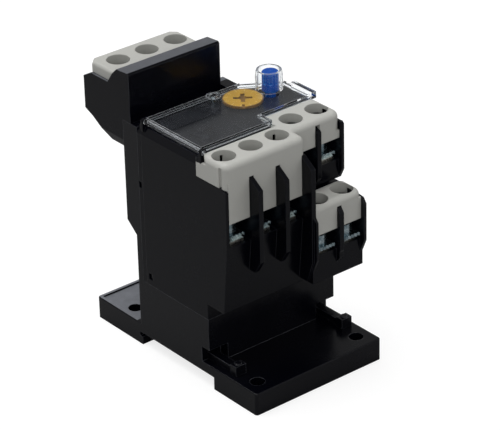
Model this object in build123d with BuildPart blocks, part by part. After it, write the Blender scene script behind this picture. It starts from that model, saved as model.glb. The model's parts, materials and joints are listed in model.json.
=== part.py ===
"""Thermal overload relay on its own mounting base.

The frame: X runs across the width, Y from the load side (front) to the line side (rear), and Z away
from the panel. The origin is at the middle of the overall depth and width, on the base's underside.
Depths are measured back from the plate's front edge, and the function at() turns them into Y.
"""
import os

from build123d import *

os.makedirs("parts", exist_ok=True)

# Overall sizes, in mm
width = 48.0
plate_length = 76.1
plate_height = 7.2
line_overhang = 0.9
overall_depth = plate_length + line_overhang
front = -overall_depth / 2
left = -width / 2
right = width / 2

# Clearances
touch_gap = 0.1
slide_gap = 0.3
running_gap = 0.05

# Rail channel for a 35 mm rail, and the panel screw holes
rail_clear = 35.5
rail_depth = 4.1
rail_front = 19.5
rail_lip = 1.3
rail_lip_height = 2.6
hole_diameter = 4.5
hole_spacing_x = 38.0
hole_spacing_y = 58.0
hole_front = 5.5

# Pedestal and rear column of the base
pedestal_front = 21.3
pedestal_rear = 54.3
pedestal_top = 22.8
column_front = 52.0
column_waist = 37.4
column_shoulder = 41.0
column_rear = 58.6
column_top = 73.7
column_width = 37.5

# Relay case
case_front = 23.0
case_overhang = 28.0
case_top = 74.5
case_wall = 1.6
cover_split = 50.2
corner_cut_x = 11.8

# Terminals: five along the top row, two below them at the right
barrier = 1.5
side_wall = 1.0
washer_gap = 0.6
pitch = (width + barrier + 2 * washer_gap - 2 * (side_wall + touch_gap)) / 5
main_x = [-2 * pitch, -pitch, 0.0]
aux_x = [pitch, 2 * pitch]
divider_x = [-1.5 * pitch, -0.5 * pitch, 0.5 * pitch]
aux_divider_x = 1.5 * pitch
main_seat = 50.0
main_screw = 17.6
main_front = 11.5
upper_seat = 60.6
upper_screw = 22.9
upper_front = 16.8
lower_seat = 38.0
lower_screw = 12.1
lower_front = 7.5
bay_behind_screw = 5.4
bar_thickness = 1.0
driver_hole = pitch - barrier - 2 * washer_gap

# White covers over the terminals
cover_top = 76.0
cover_plate = 1.5
cover_skirt = 1.4
main_skirt_low = 57.5
upper_skirt_low = 67.8
lower_cover_top = 54.3
lower_skirt_low = 45.0

# Line terminals behind the column
line_pitch = 10.6
line_bay = 9.1
line_end_wall = 0.7
line_first = left + 7.2
line_screw = 69.3
line_seat = 70.0
line_x = [line_first + line_pitch * k for k in range(3)]
line_cover_top = 87.0
pin_width = 3.6
pin_low = line_seat + bar_thickness

# Screws
screw_shank = 3.3
washer_side = pitch - barrier - 2 * washer_gap
screw_head = washer_side - 1.0
head_height = 2.6
washer_thickness = 1.0
spring_washer = 0.8
screw_hole = screw_shank + 0.5

# Front panel, clear cover, dial and button
panel_top = 75.6
clear_low = 75.75
clear_top = 77.5
clear_plate = 0.9
clear_skirt = 0.6
clear_front = 23.6
clear_step = 5.3
clear_step_x = 0.5 * pitch - 1.55
clear_rear = 48.7
clear_cut_x = 10.9
clear_side = right - 1.3
grip_rear = 38.0
hinge_x = left + 1.1
hinge_z = 76.2
hinge_pin = 0.7
dial_x = right - 16.7
dial_depth = 41.7
dial_diameter = 12.1
dial_height = 0.8
dial_stem = 1.8
pointer_angle = 233
button_x = right - 7.6
button_depth = 40.0
button_diameter = 5.1
button_top = 83.1
collar_outer = 8.2
collar_wall = 0.7
collar_mouth = 3.1
collar_bend = 80.8
collar_top = 83.6
collar_x = button_x - 0.3
collar_depth = button_depth + 0.2
corner_cut_y = cover_split - button_depth - 2.3
clear_cut_y = clear_rear - button_depth - 1.2
pin_x = line_x[-1] - pin_width / 2 - 2.1
pin_depth = clear_rear - 1.8
test_pin_diameter = 1.6

# Mechanism
bimetal_thickness = 0.8
bimetal_width = 4.0
bimetal_depth = 40.0
bimetal_foot = 30.0
bimetal_top = 60.4
bar_low = 58.4
bar_high = 59.6
lever_x = 6.0
lever_z = 66.6
lever_depth = 33.0
lever_drop = 8.0
carrier_x = aux_divider_x
carrier_depth = 31.8
lever_reach = carrier_x - lever_x - 1.75


def at(depth):
    """Y of a point this many mm behind the plate's front edge."""
    return front + depth


def block(x0, x1, d0, d1, z0, z1, mode=Mode.ADD):
    """Rectangular block between two widths, two depths and two heights."""
    with Locations(((x0 + x1) / 2, at((d0 + d1) / 2), (z0 + z1) / 2)):
        Box(x1 - x0, d1 - d0, z1 - z0, mode=mode)


def slab(x, across, d0, d1, z0, z1, mode=Mode.ADD):
    """Rectangular block of a given width centred on x."""
    block(x - across / 2, x + across / 2, d0, d1, z0, z1, mode)


def rod(x, z, radius, d0, d1, mode=Mode.ADD):
    """Cylinder along the depth."""
    with Locations(Location((x, at((d0 + d1) / 2), z), (90, 0, 0))):
        Cylinder(radius, d1 - d0, mode=mode)


def post(x, depth, radius, z0, z1, mode=Mode.ADD):
    """Upright cylinder between two heights."""
    with Locations((x, at(depth), (z0 + z1) / 2)):
        Cylinder(radius, z1 - z0, mode=mode)


def side_prism(points, x0, x1, mode=Mode.ADD):
    """Prism across the width, from a side view of (depth, height) points."""
    with BuildSketch(Plane.YZ.offset(x0), mode=Mode.PRIVATE) as outline:
        with BuildLine():
            Polyline(*[(at(d), z) for d, z in points], close=True)
        make_face()
    extrude(outline.sketch, amount=x1 - x0, mode=mode)


def plan_prism(points, z0, z1, mode=Mode.ADD):
    """Upright prism, from a plan view of (x, depth) points."""
    with BuildSketch(Plane.XY.offset(z0), mode=Mode.PRIVATE) as outline:
        with BuildLine():
            Polyline(*[(x, at(d)) for x, d in points], close=True)
        make_face()
    extrude(outline.sketch, amount=z1 - z0, mode=mode)


def end_prism(points, d0, d1, mode=Mode.ADD):
    """Prism along the depth, from a front view of (x, height) points."""
    with BuildSketch(Plane.XZ.offset(-at(d0)), mode=Mode.PRIVATE) as outline:
        with BuildLine():
            Polyline(*points, close=True)
        make_face()
    extrude(outline.sketch, amount=d0 - d1, mode=mode)


def dome(x, depth, radius, mouth, z0, z1, z2, mode=Mode.ADD):
    """Round wall that runs straight up from z0 to z1, then curves in to its mouth at z2."""
    with BuildSketch(Plane.XZ.offset(-at(depth)), mode=Mode.PRIVATE) as half:
        with BuildLine():
            Line((x, z0), (x + radius, z0))
            Line((x + radius, z0), (x + radius, z1))
            shoulder = (x + mouth + 0.8 * (radius - mouth), z1 + 0.6 * (z2 - z1))
            ThreePointArc((x + radius, z1), shoulder, (x + mouth, z2))
            Line((x + mouth, z2), (x, z2))
            Line((x, z2), (x, z0))
        make_face()
    revolve(half.sketch, axis=Axis((x, at(depth), 0), (0, 0, 1)), mode=mode)


def pin_windows(d0, d1):
    """Openings for the relay's line pins through a wall."""
    low = pin_low - touch_gap
    high = pin_low + bar_thickness + 0.5
    for x in line_x:
        slab(x, pin_width + 2 * slide_gap, d0, d1, low, high, Mode.SUBTRACT)


def top_holes(z0, z1):
    """Openings for the dial's stem, the reset button and the test pin."""
    post(dial_x, dial_depth, dial_stem + touch_gap, z0, z1, Mode.SUBTRACT)
    post(button_x, button_depth, button_diameter / 2 + 0.15, z0, z1, Mode.SUBTRACT)
    post(pin_x, pin_depth, test_pin_diameter / 2 + running_gap, z0, z1, Mode.SUBTRACT)


def finish(builder, label):
    """Name a finished piece and write it."""
    builder.part.label = label
    export_step(builder.part, f"parts/{label}.step")


def case_outline(inset, rear):
    """Plan of the relay case with its cut rear right corner, shrunk by an inset."""
    cut_front = cover_split - corner_cut_y
    return [
        (left + inset, case_front),
        (right - inset, case_front),
        (right - inset, cut_front - inset / 2),
        (right - corner_cut_x - inset / 2, rear),
        (left + inset, rear),
    ]


# Mounting base: plate, pedestal and rear column in one moulding
arm_x = 20.4
arm_width = 2.6
arm_top = 9.5
leg_width = 1.9
latch_slot_front = 12.8
latch_slot_rear = 18.8
hook_front = 46.5
hook_rear = 49.9
hook_top = 26.4
rim = 1.2
rim_recess = 0.6
corner_radius = 0.9
edge_radius = 0.4
notch_side = 17.0
notch_top = 12.3
notch_rear = 24.8
pocket_front = 10.5
cell = 6.8
nose_width = 42.6
shoulder_top = 75.6
block_right = line_x[-1] + line_bay / 2 + line_end_wall
with BuildPart() as mounting_base:
    with BuildSketch():
        with Locations((0, at(plate_length / 2))):
            Rectangle(width, plate_length)
        fillet(vertices(), radius=corner_radius)
    extrude(amount=plate_height)
    fillet(faces().sort_by(Axis.Z)[-1].edges(), radius=edge_radius)
    block(left, right, pedestal_front, pedestal_rear, plate_height - 1, pedestal_top)
    side_prism(
        [
            (column_front, plate_height - 1),
            (pedestal_rear, plate_height - 1),
            (pedestal_rear, column_waist),
            (column_rear, column_shoulder),
            (column_rear, column_top),
            (column_front, column_top),
        ],
        left,
        left + column_width,
    )
    block(line_x[-1], left + column_width, column_front, column_rear, column_top - 1, shoulder_top)
    block(line_x[-1] - 1, block_right + touch_gap, column_front - 1, column_rear + 1,
          column_top, shoulder_top + 1, Mode.SUBTRACT)
    rail_rear = rail_front + rail_clear
    slab(0, width + 2, rail_front, rail_rear - rail_lip, -1, rail_depth, Mode.SUBTRACT)
    slab(0, width + 2, rail_rear - rail_lip - 1, rail_rear, rail_lip_height, rail_depth, Mode.SUBTRACT)
    for side in (-1, 1):
        x0, x1 = sorted((side * notch_side, side * (right + 1)))
        block(x0, x1, pedestal_front - 1, notch_rear, plate_height, notch_top, Mode.SUBTRACT)
        slab(side * arm_x, arm_width + 2 * touch_gap, notch_rear - 1, notch_rear + 7,
             plate_height, arm_top + slide_gap, Mode.SUBTRACT)
        slab(side * arm_x, leg_width + slide_gap, latch_slot_front, latch_slot_rear,
             rail_lip_height - 1, plate_height + 1, Mode.SUBTRACT)
        hook_outer = side * (right - case_wall - 0.2)
        hook_inner = side * (right - case_wall - 1.6)
        x0, x1 = sorted((hook_outer, hook_inner))
        block(x0, x1, hook_front, hook_rear, pedestal_top, hook_top)
        x0, x1 = sorted((hook_outer, side * (right - 0.5)))
        block(x0, x1, hook_front + 1, hook_rear - 1, hook_top - 1.4, hook_top)
    slab(0, nose_width + 2 * slide_gap, pocket_front, rail_front + 1,
         -1, rail_lip_height + 0.5, Mode.SUBTRACT)
    block(left + rim, right - rim, pedestal_rear + 2.2, plate_length - rim, plate_height - rim_recess,
          plate_height + 1, Mode.SUBTRACT)
    with Locations((0, at(hole_front + hole_spacing_y / 2), plate_height)):
        with GridLocations(hole_spacing_x, hole_spacing_y, 2, 2):
            Hole(radius=hole_diameter / 2, depth=plate_height)
    # Hollows under the pedestal and in the back of the column
    for k in range(5):
        x = (k - 2) * (width - 4) / 5
        for row in range(3):
            d = 26.4 + row * 8.6
            slab(x, cell, d, d + 7.2, rail_depth - 1, pedestal_top - 2.0, Mode.SUBTRACT)
    for k in range(4):
        x = left + (k + 0.5) * column_width / 4
        slab(x, cell, column_front + 2.6, column_rear + 1,
             column_shoulder + 3, column_top - 10, Mode.SUBTRACT)
    pin_windows(column_front - 1, column_rear + 1)
finish(mounting_base, "mounting_base")

# Rail latch: two arms on the plate joined by a nose bar under it
leg_front = 15.4
leg_rear = leg_front + 2.6
grip_end = 13.8
with BuildPart() as rail_latch:
    bar_z0 = 0.5
    bar_z1 = rail_lip_height
    side_prism(
        [
            (leg_front - 0.6, bar_z0),
            (rail_front - 0.4, bar_z0),
            (rail_front + rail_lip, bar_z1 - 0.6),
            (rail_front + rail_lip, bar_z1),
            (leg_front - 0.6, bar_z1),
        ],
        -nose_width / 2,
        nose_width / 2,
    )
    for side in (-1, 1):
        x = side * arm_x
        slab(x, leg_width, leg_front, leg_rear, bar_z1 - 0.5, plate_height + 1)
        slab(x, arm_width, grip_end - 0.4, notch_rear + 3.5, plate_height + touch_gap, arm_top)
        slab(x, 3.8, grip_end - 2.6, grip_end, plate_height + touch_gap, arm_top + 1)
        post(x, grip_end - 1.3, 1.0, arm_top + 0.6, arm_top + 1.4)
finish(rail_latch, "rail_latch")

# Line terminal block on top of the column
wall_front = 54.9
end_wall_top = 83.6
end_lip = 0.7
bay_back = 60.9
bay_floor = 72.2
with BuildPart() as line_terminal_block:
    side_prism(
        [
            (wall_front, column_top),
            (wall_front, 89.0),
            (wall_front + 0.6, 89.5),
            (60.6, 89.1),
            (62.9, 86.9),
            (65.2, end_wall_top),
            (73.2, end_wall_top),
            (overall_depth, 81.6),
            (overall_depth, 71.1),
            (73.4, 69.6),
            (69.6, 67.3),
            (65.4, 64.6),
            (column_rear, 64.6),
            (column_rear, column_top),
        ],
        left,
        block_right,
    )
    # Slanted lower edge of the left end
    end_prism([(left - 1, 67.2), (left, 67.2), (left + 0.9, 64.5), (left - 1, 64.5)],
              column_rear, overall_depth, Mode.SUBTRACT)
    for x in line_x:
        slab(x, line_bay, bay_back, overall_depth + 1, bay_floor, 95, Mode.SUBTRACT)
        slab(x, washer_side + 2 * touch_gap, bay_back, line_screw + washer_side / 2 + touch_gap,
             line_seat, bay_floor + 1, Mode.SUBTRACT)
        post(x, line_screw, screw_hole / 2, 66.5, line_seat + 1, Mode.SUBTRACT)
    pin_windows(wall_front - 1, bay_back + 1)
    block(left + end_lip, block_right + 1, bay_back + 0.6, overall_depth + 1, end_wall_top, 95, Mode.SUBTRACT)
finish(line_terminal_block, "line_terminal_block")

# Light grey cover over the line screws, with a driver hole over each
line_cover_front = 61.6
line_cover_rear = 75.5
line_cover_round = 1.1
with BuildPart() as line_terminal_cover:
    cover_left = left + end_lip + touch_gap
    cover_right = line_x[-1] + line_bay / 2 - touch_gap
    plan_prism(
        [
            (cover_left, line_cover_front + 1),
            (cover_left + 1, line_cover_front),
            (cover_right - 1, line_cover_front),
            (cover_right, line_cover_front + 1),
            (cover_right, line_cover_rear - 2),
            (cover_right - 2, line_cover_rear),
            (cover_left + 2, line_cover_rear),
            (cover_left, line_cover_rear - 2),
        ],
        end_wall_top + touch_gap,
        line_cover_top,
    )
    for x in line_x:
        slab(x, line_bay - 2 * touch_gap, line_cover_front, line_cover_front + 1.3, 78.5, 85)
        post(x, line_screw, driver_hole / 2 + 0.75, 80.4, 85)
        post(x, line_screw, driver_hole / 2, 80, line_cover_top + 1, Mode.SUBTRACT)
    fillet(line_terminal_cover.faces().sort_by(Axis.Z)[-1].outer_wire().edges(), radius=line_cover_round)
finish(line_terminal_cover, "line_terminal_cover")


def terminal_screws(places, label):
    """Cross-head screws standing on their washers, one per (x, depth, seat)."""
    with BuildPart() as screws:
        for x, depth, seat in places:
            under_head = seat + washer_thickness + spring_washer
            post(x, depth, screw_head / 2, under_head, under_head + head_height)
            post(x, depth, screw_shank / 2, seat - bar_thickness - 2.4, under_head)
            for turn in (0, 90):
                with Locations(Location((x, at(depth), under_head + head_height - 0.5), (0, 0, turn))):
                    Box(3.6, 0.9, 1.4, mode=Mode.SUBTRACT)
    finish(screws, label)


def terminal_washers(places, label):
    """Square clamping plate with a split spring washer on it, one pair per (x, depth, seat)."""
    with BuildPart() as washers:
        for x, depth, seat in places:
            plate_top = seat + washer_thickness
            slab(x, washer_side, depth - washer_side / 2, depth + washer_side / 2, seat, plate_top)
            post(x, depth, screw_head / 2 - 0.1, plate_top, plate_top + spring_washer)
            post(x, depth, screw_shank / 2 + running_gap, seat - 1, plate_top + 3, Mode.SUBTRACT)
            block(x + screw_shank / 2 - 0.2, x + screw_head, depth - 0.3, depth + 0.3,
                  plate_top, plate_top + 3, Mode.SUBTRACT)
    finish(washers, label)


main_places = [(x, main_screw, main_seat + bar_thickness) for x in main_x]
aux_places = [(x, upper_screw, upper_seat + bar_thickness) for x in aux_x]
aux_places += [(x, lower_screw, lower_seat + bar_thickness) for x in aux_x]
line_places = [(x, line_screw, line_seat + 2 * bar_thickness) for x in line_x]
terminal_screws(main_places, "load_terminal_screws")
terminal_washers(main_places, "load_clamp_washers")
terminal_screws(aux_places, "aux_terminal_screws")
terminal_washers(aux_places, "aux_clamp_washers")
terminal_screws(line_places, "line_terminal_screws")
terminal_washers(line_places, "line_clamp_washers")

# Line terminal bars, and the relay's contact pins clamped on them
with BuildPart() as line_terminal_bars:
    for x in line_x:
        slab(x, 6.8, 61.5, 72.3, line_seat, line_seat + bar_thickness)
        post(x, line_screw, screw_shank / 2 + running_gap, line_seat - 1, line_seat + 2, Mode.SUBTRACT)
finish(line_terminal_bars, "line_terminal_bars")

with BuildPart() as relay_pins:
    for x in line_x:
        slab(x, pin_width, 46.2, 66, pin_low, pin_low + bar_thickness)
        slab(x, 6.6, 65.9, 72.2, pin_low, pin_low + bar_thickness)
        slab(x, pin_width, 46.2, 47.2, bar_high + 2, pin_low + 0.5)
        post(x, line_screw, screw_shank / 2 + running_gap, pin_low - 1, pin_low + 2, Mode.SUBTRACT)
        slab(x, 3.4, line_screw, 73, pin_low - 1, pin_low + 2, Mode.SUBTRACT)
finish(relay_pins, "relay_pins")

# Relay case: walls, barriers and terminal bays in one moulding
barrier_front = 7.4
lower_left = divider_x[-1]
tab_front = 14.2
side_front_top = 67.6
side_top = 68.8
tab_middle = 22.1
tab_rear = 24.6
tab_low = 68.5
tab_high = 73.0
pin_radius = 0.8
pin_root = 28.6
boss_front = bimetal_depth + bimetal_width / 2 + 1.0
boss_rear = cover_split - 1.3
boss_radius = 2.4
rib = 1.8
chamber_front = 30.0
spring_ledge = 64.0
button_stem = 1.6
case_screw_x = [left + case_wall + 2.8, right - corner_cut_x - 4.2]
case_screw_z = 33.0
case_screw_radius = 1.2
left_edge = [(left - 1, 72.2), (left, 72.2), (left + 1.1, case_top), (left + 1.1, case_top + 1),
             (left - 1, case_top + 1)]
with BuildPart() as relay_housing:
    plan_prism(case_outline(0, cover_split), case_overhang, case_top)
    block(left, right, pedestal_front, cover_split - corner_cut_y, pedestal_top, case_overhang + 1)
    block(left, right - corner_cut_x, cover_split - corner_cut_y - 1, cover_split,
          pedestal_top, case_overhang + 1)
    side_prism(
        [
            (case_front + 1, case_overhang),
            (main_front + 2.2, case_overhang),
            (main_front, main_seat),
            (main_front, side_front_top),
            (main_front + 2.4, side_top),
            (case_front + 1, side_top),
        ],
        left,
        lower_left + barrier / 2,
    )
    side_prism(
        [
            (case_front + 1, 54.5),
            (17.5, 54.5),
            (16.0, 57.6),
            (16.0, 72.3),
            (16.6, 72.9),
            (case_front + 1, 72.9),
        ],
        lower_left,
        right,
    )
    side_prism(
        [
            (case_front + 1, 29.2),
            (8.1, 29.2),
            (8.1, 33.6),
            (6.3, 37.8),
            (6.3, 49.9),
            (7.5, 51.6),
            (17.5, 52.6),
            (case_front + 1, 52.6),
        ],
        lower_left,
        right,
    )
    # Bays, each open at the front and the top
    for x in main_x:
        x0 = max(x - (pitch - barrier) / 2, left + side_wall)
        block(x0, x + (pitch - barrier) / 2, 0, main_screw + bay_behind_screw, main_seat, 80, Mode.SUBTRACT)
    for x in aux_x:
        x0 = x - (pitch - barrier) / 2
        x1 = min(x + (pitch - barrier) / 2, right - side_wall)
        block(x0, x1, 0, upper_screw + bay_behind_screw, upper_seat, 80, Mode.SUBTRACT)
        block(x0, x1, 0, lower_screw + bay_behind_screw, lower_seat, 54.5, Mode.SUBTRACT)
        block(x0, x1, 0, 8.1, 29.0, lower_seat + 1, Mode.SUBTRACT)
        block(x0, x1, 0, 17.3, 54.5, upper_seat + 1, Mode.SUBTRACT)
    # Seat of the white covers behind the bays
    block(left - 1, left + side_wall, tab_front - touch_gap, tab_rear + touch_gap,
          tab_low - touch_gap, tab_high + touch_gap, Mode.SUBTRACT)
    block(left - 1, left + side_wall, tab_front - touch_gap, clear_front,
          tab_low - touch_gap, 80, Mode.SUBTRACT)
    block(lower_left - barrier, lower_left + barrier / 2, 15.5, upper_front + cover_skirt + touch_gap,
          70.1, case_top + 1, Mode.SUBTRACT)
    # Barriers between the poles
    for k, x in enumerate(divider_x):
        last = k == len(divider_x) - 1
        low = 37.0 if last else 44.0
        root = 29.8 if last else 40.0
        side_prism(
            [
                (case_front + 1, root),
                (main_front + 1.5, root),
                (barrier_front + 2.5, root),
                (barrier_front, low),
                (barrier_front, 67.0),
                (main_front + 0.3, 70.0),
                (case_front + 1, 70.0),
            ],
            x - barrier / 2,
            x + barrier / 2,
        )
    side_prism(
        [
            (upper_screw + bay_behind_screw, upper_seat),
            (16.8, upper_seat - 0.5),
            (16.8, 72.6),
            (19.3, 74.4),
            (upper_screw + bay_behind_screw, 74.4),
        ],
        aux_divider_x - barrier / 2,
        aux_divider_x + barrier / 2,
    )
    side_prism(
        [
            (lower_screw + bay_behind_screw, 33.5),
            (8.1, 33.5),
            (6.6, 35.4),
            (6.6, 50.4),
            (9.0, 51.6),
            (lower_screw + bay_behind_screw, 51.6),
        ],
        aux_divider_x - barrier / 2,
        aux_divider_x + barrier / 2,
    )
    # Chamber behind the terminals, open at the rear
    chamber_low = pedestal_top + 2.0
    chamber_high = case_top - 1.8
    inner_right = right - case_wall
    plan_prism(
        [
            (left + case_wall, chamber_front),
            (inner_right, chamber_front),
            (inner_right, cover_split - corner_cut_y - 0.6),
            (right - corner_cut_x - 1.2, cover_split + 0.1),
            (left + case_wall, cover_split + 0.1),
        ],
        chamber_low,
        chamber_high,
        Mode.SUBTRACT,
    )
    block(left + case_wall, 4.0, 24.8, 31, chamber_low + 2, 68.0, Mode.SUBTRACT)
    for x in (-1.5 * pitch, -0.5 * pitch, 0.5 * pitch - 0.6):
        slab(x, 1.0, 24.5, 48.5, chamber_low - 0.5, bar_low - slide_gap)
    # Bosses for the rear cover's screws and for the trip lever's pin
    for x, wall in zip(case_screw_x, (left + case_wall - 0.5, 0.5 * pitch - 0.6)):
        x0, x1 = sorted((x, wall))
        rod(x, case_screw_z, boss_radius, boss_front, boss_rear)
        block(x0, x1, boss_front, boss_rear, case_screw_z - rib / 2, case_screw_z + rib / 2)
        rod(x, case_screw_z, case_screw_radius + running_gap, boss_front + 0.7, boss_rear + 1, Mode.SUBTRACT)
    rod(lever_x, lever_z, 1.9, chamber_front - 0.1, lever_depth - 1.7)
    # Ledge that the reset spring stands on
    block(button_x - 3.9, inner_right + 0.5, button_depth - 3.4, button_depth + 3.0,
          spring_ledge - 1.5, spring_ledge)
    post(button_x, button_depth, button_stem + touch_gap, spring_ledge - 2, spring_ledge + 1, Mode.SUBTRACT)
    # Openings in the top, the sides and the bottom
    top_holes(chamber_high - 1, case_top + 1)
    for side in (-1, 1):
        x0, x1 = sorted((side * (right - case_wall - 2.0), side * (right - case_wall)))
        block(x0, x1, hook_front - 0.3, cover_split + 0.1, pedestal_top - 1, chamber_low + 1, Mode.SUBTRACT)
        x0, x1 = sorted((side * (right - case_wall - 0.1), side * (right + 1)))
        block(x0, x1, hook_front + 0.8, hook_rear - 0.8, hook_top - 1.7, hook_top + 0.3, Mode.SUBTRACT)
    end_prism(left_edge, tab_rear + touch_gap, cover_split, Mode.SUBTRACT)
    # Slots for the terminal bars, and holes for the screw tips
    for x, depth, seat in main_places + aux_places:
        post(x, depth, screw_hole / 2, seat - 4.2, seat, Mode.SUBTRACT)
    for x in main_x:
        slab(x, 5.2, 20, 26, main_seat, main_seat + 1.1, Mode.SUBTRACT)
    for x in aux_x:
        slab(x, 3.2, 26, 31, upper_seat, upper_seat + 1.1, Mode.SUBTRACT)
        slab(x, 3.2, 16, 31, lower_seat, lower_seat + 1.1, Mode.SUBTRACT)
    # Blind hole for the lever's pin, and two ears for the clear cover's hinge
    rod(lever_x, lever_z, pin_radius + running_gap, pin_root, lever_depth - 0.4, Mode.SUBTRACT)
    for d0, d1 in ((clear_front - 1.3, clear_front - 0.3), (clear_rear + 0.3, clear_rear + 1.3)):
        block(left, hinge_x + 1.1, d0, d1, tab_high + 2 * touch_gap, hinge_z)
        rod(hinge_x, hinge_z, 1.1, d0, d1)
        rod(hinge_x, hinge_z, hinge_pin + running_gap, d0 - 1, d1 + 1, Mode.SUBTRACT)
finish(relay_housing, "relay_housing")

# Rear cover of the case, with windows for the pins
with BuildPart() as rear_cover:
    block(left, right - corner_cut_x, cover_split, column_front, pedestal_top, case_top)
    block(left + case_wall + 0.2, right - corner_cut_x - 2.2, cover_split - 1.2, cover_split + 0.1,
          chamber_low + 2.5, chamber_high - 0.2)
    block(left + case_wall + 1.6, right - corner_cut_x - 3.8, cover_split - 2, cover_split,
          chamber_low + 4.0, chamber_high - 1.8, Mode.SUBTRACT)
    end_prism(left_edge, cover_split, column_front, Mode.SUBTRACT)
    block(left - 1, left + 0.7, column_front - 1.3, column_front, 54.3, 56.3, Mode.SUBTRACT)
    pin_windows(cover_split - 2, column_front + 2)
    for x in case_screw_x:
        rod(x, case_screw_z, boss_radius + slide_gap, boss_rear, cover_split + 0.1)
        rod(x, case_screw_z, case_screw_radius + running_gap, boss_rear - 1, column_front, Mode.SUBTRACT)
        rod(x, case_screw_z, boss_radius, cover_split + 0.5, column_front + 1, Mode.SUBTRACT)
finish(rear_cover, "rear_cover")

# Screws of the rear cover, sunk below its face
with BuildPart() as case_screws:
    for x in case_screw_x:
        rod(x, case_screw_z, boss_radius - 0.2, column_front - 1.3, column_front - 0.2)
        rod(x, case_screw_z, case_screw_radius, boss_front + 2.0, column_front - 1)
        for turn in (0, 90):
            with Locations(Location((x, at(column_front - 0.35), case_screw_z), (0, turn, 0))):
                Box(2.6, 0.7, 0.6, mode=Mode.SUBTRACT)
finish(case_screws, "case_screws")

# Front panel under the clear cover
with BuildPart() as front_panel:
    panel_inset = 0.3
    plan_prism(
        [
            (-clear_side + panel_inset, clear_front + panel_inset),
            (clear_step_x - panel_inset, clear_front + panel_inset),
            (clear_step_x - panel_inset, clear_front + clear_step + panel_inset),
            (clear_side - panel_inset, clear_front + clear_step + panel_inset),
            (clear_side - panel_inset, clear_rear - clear_cut_y),
            (clear_side - clear_cut_x, clear_rear - panel_inset),
            (-clear_side + panel_inset, clear_rear - panel_inset),
        ],
        case_top,
        panel_top - 0.4,
    )
    # Raised plate at the left, its rear part a step higher
    plate_step = dial_depth - 1.7
    block(-clear_side + 2, -4.2, clear_front + 2.4, plate_step, panel_top - 0.5, panel_top - 0.2)
    block(-clear_side + 2, -4.2, plate_step, clear_rear - 1.6, panel_top - 0.5, panel_top)
    top_holes(case_top - 1, panel_top + 1)
finish(front_panel, "front_panel")

# Clear cover with its collar round the button and its grip at the right
clear_outline = [
    (-clear_side, clear_front),
    (clear_step_x, clear_front),
    (clear_step_x, clear_front + clear_step),
    (clear_side, clear_front + clear_step),
    (clear_side, clear_rear - clear_cut_y),
    (clear_side - clear_cut_x, clear_rear),
    (-clear_side, clear_rear),
]
with BuildPart() as transparent_cover:
    plan_prism(clear_outline, clear_low, clear_top)
    with BuildSketch(Plane.XY.offset(clear_low), mode=Mode.PRIVATE) as inside:
        with BuildLine():
            Polyline(*[(x, at(d)) for x, d in clear_outline], close=True)
        make_face()
        offset(amount=-clear_skirt, kind=Kind.INTERSECTION, mode=Mode.REPLACE)
    extrude(inside.sketch, amount=clear_top - clear_plate - clear_low, mode=Mode.SUBTRACT)
    collar_radius = collar_outer / 2
    dome(collar_x, collar_depth, collar_radius, collar_mouth + collar_wall, clear_top - 0.5,
         collar_bend, collar_top)
    dome(collar_x, collar_depth, collar_radius - collar_wall, collar_mouth, clear_low - 1,
         collar_bend, collar_top, Mode.SUBTRACT)
    post(pin_x, pin_depth, 2.1, clear_top - 0.2, clear_top + 0.3)
    post(pin_x, pin_depth, 1.2, 70, 90, Mode.SUBTRACT)
    block(clear_side - 0.5, right, clear_front + clear_step - 0.6, grip_rear,
          clear_low + 0.3, clear_top + 0.7)
    rod(hinge_x, hinge_z, hinge_pin, clear_front - 1.2, clear_rear + 1.2)
    block(hinge_x + 1.2, clear_side - 1.2, clear_front + clear_step + 1, clear_rear - 9, clear_low - 1,
          clear_low, Mode.SUBTRACT)
finish(transparent_cover, "transparent_cover")

# Current dial and its cam
cam_top = 70.0
with BuildPart() as current_dial:
    dial_low = panel_top - 0.15
    dial_top = dial_low + dial_height
    post(dial_x, dial_depth, dial_diameter / 2, dial_low, dial_top)
    post(dial_x, dial_depth, dial_stem, cam_top, dial_low + 0.1)
    for turn in (0, 90):
        with Locations(Location((dial_x, at(dial_depth), dial_top), (0, 0, pointer_angle + turn))):
            Box(5.6, 1.2, 0.9, mode=Mode.SUBTRACT)
    with Locations((dial_x, at(dial_depth), dial_top)):
        Cylinder(1.3, 0.9, mode=Mode.SUBTRACT)
        with PolarLocations(dial_diameter / 2 - 0.7, 1, start_angle=pointer_angle):
            Box(1.9, 0.8, 0.8, mode=Mode.SUBTRACT)
finish(current_dial, "current_dial")

with BuildPart() as dial_cam:
    post(dial_x + 0.8, dial_depth, 3.0, cam_top - 1.8, cam_top)
finish(dial_cam, "dial_cam")

# Reset button, its clip and its return spring
clip_low = 71.0
clip_thickness = 0.8
button_shoulder = 77.2
flutes = 8
flute_length = 3.6
with BuildPart() as reset_button:
    post(button_x, button_depth, button_diameter / 2, button_shoulder, button_top)
    fillet(faces().sort_by(Axis.Z)[-1].edges(), radius=0.5)
    with Locations((button_x, at(button_depth), button_top - flute_length / 2)):
        with PolarLocations(button_diameter / 2 + 0.1, flutes, start_angle=pointer_angle):
            Cylinder(0.4, flute_length, mode=Mode.SUBTRACT)
    post(button_x, button_depth, button_stem, 60.0, button_shoulder + 0.1)
    with Locations((button_x, at(button_depth), clip_low + clip_thickness / 2)):
        Cylinder(button_stem + 1, clip_thickness, mode=Mode.SUBTRACT)
        Cylinder(button_stem - 0.4, clip_thickness)
finish(reset_button, "reset_button")

with BuildPart() as button_clip:
    post(button_x, button_depth, 3.1, clip_low, clip_low + clip_thickness)
    post(button_x, button_depth, button_stem - 0.4 + 0.02, 70, 73, Mode.SUBTRACT)
finish(button_clip, "button_clip")


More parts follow.
